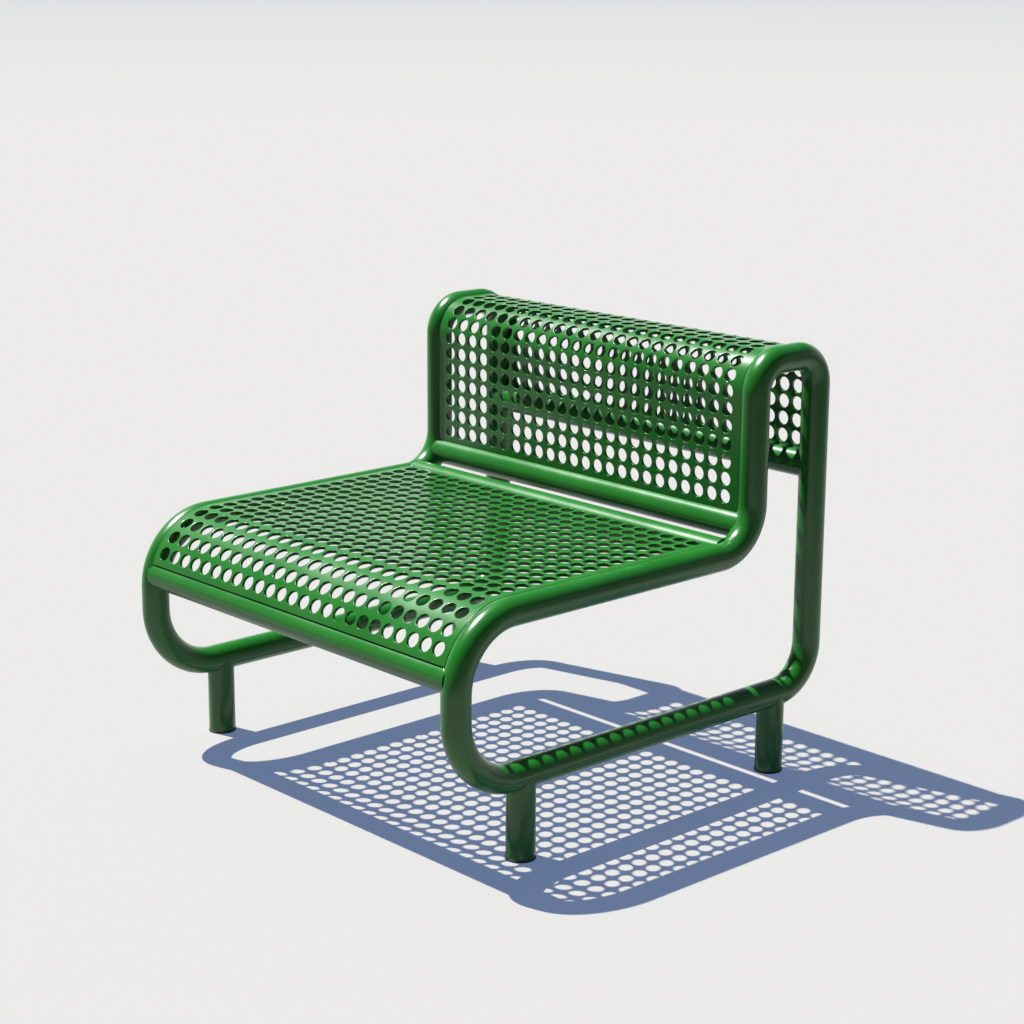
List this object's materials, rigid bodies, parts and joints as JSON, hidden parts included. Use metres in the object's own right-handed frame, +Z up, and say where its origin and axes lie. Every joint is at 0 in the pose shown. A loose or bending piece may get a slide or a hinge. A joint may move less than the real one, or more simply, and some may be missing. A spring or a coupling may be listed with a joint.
{
  "type": "low-back bench",
  "caption": "Low-back outdoor metal bench: looped tube side frames and cross tubes carry a perforated seat sheet rolled down at the front and a perforated sheet folded over the low back.",
  "frame": {"origin": "on the floor, under the middle of the outer box", "axes": "+Z up; the seat's front edge faces -Y and the back stands at +Y; +X to the right as seen from the front"},
  "size_m": [0.892, 0.902, 0.786],
  "materials": {
    "green_coat": "satin powder coat",
    "bare_steel": "mill finish",
    "black_plastic": "matte"
  },
  "bodies": {
    "root": {"frame_tube_left": "green_coat", "frame_tube_right": "green_coat", "rear_elbow_left": "green_coat", "rear_elbow_right": "green_coat", "front_cross_tube": "green_coat", "seat_rear_cross_tube": "green_coat", "back_front_cross_tube": "green_coat", "back_rear_cross_tube": "green_coat", "seat_panel": "green_coat", "back_panel": "green_coat", "foot_tube_front_left": "green_coat", "foot_tube_rear_left": "green_coat", "foot_tube_front_right": "green_coat", "foot_tube_rear_right": "green_coat", "seat_tab_nose_left": "green_coat", "seat_tab_1_left": "green_coat", "seat_tab_2_left": "green_coat", "seat_tab_3_left": "green_coat", "back_tab_1_left": "green_coat", "back_tab_2_left": "green_coat", "back_tab_rear_left": "green_coat", "seat_tab_nose_right": "green_coat", "seat_tab_1_right": "green_coat", "seat_tab_2_right": "green_coat", "seat_tab_3_right": "green_coat", "back_tab_1_right": "green_coat", "back_tab_2_right": "green_coat", "back_tab_rear_right": "green_coat", "rail_sleeve_left": "bare_steel", "leg_sleeve_left": "bare_steel", "rail_sleeve_right": "bare_steel", "leg_sleeve_right": "bare_steel", "foot_cap_front_left": "black_plastic", "foot_cap_rear_left": "black_plastic", "foot_cap_front_right": "black_plastic", "foot_cap_rear_right": "black_plastic"}
  },
  "joints": []
}
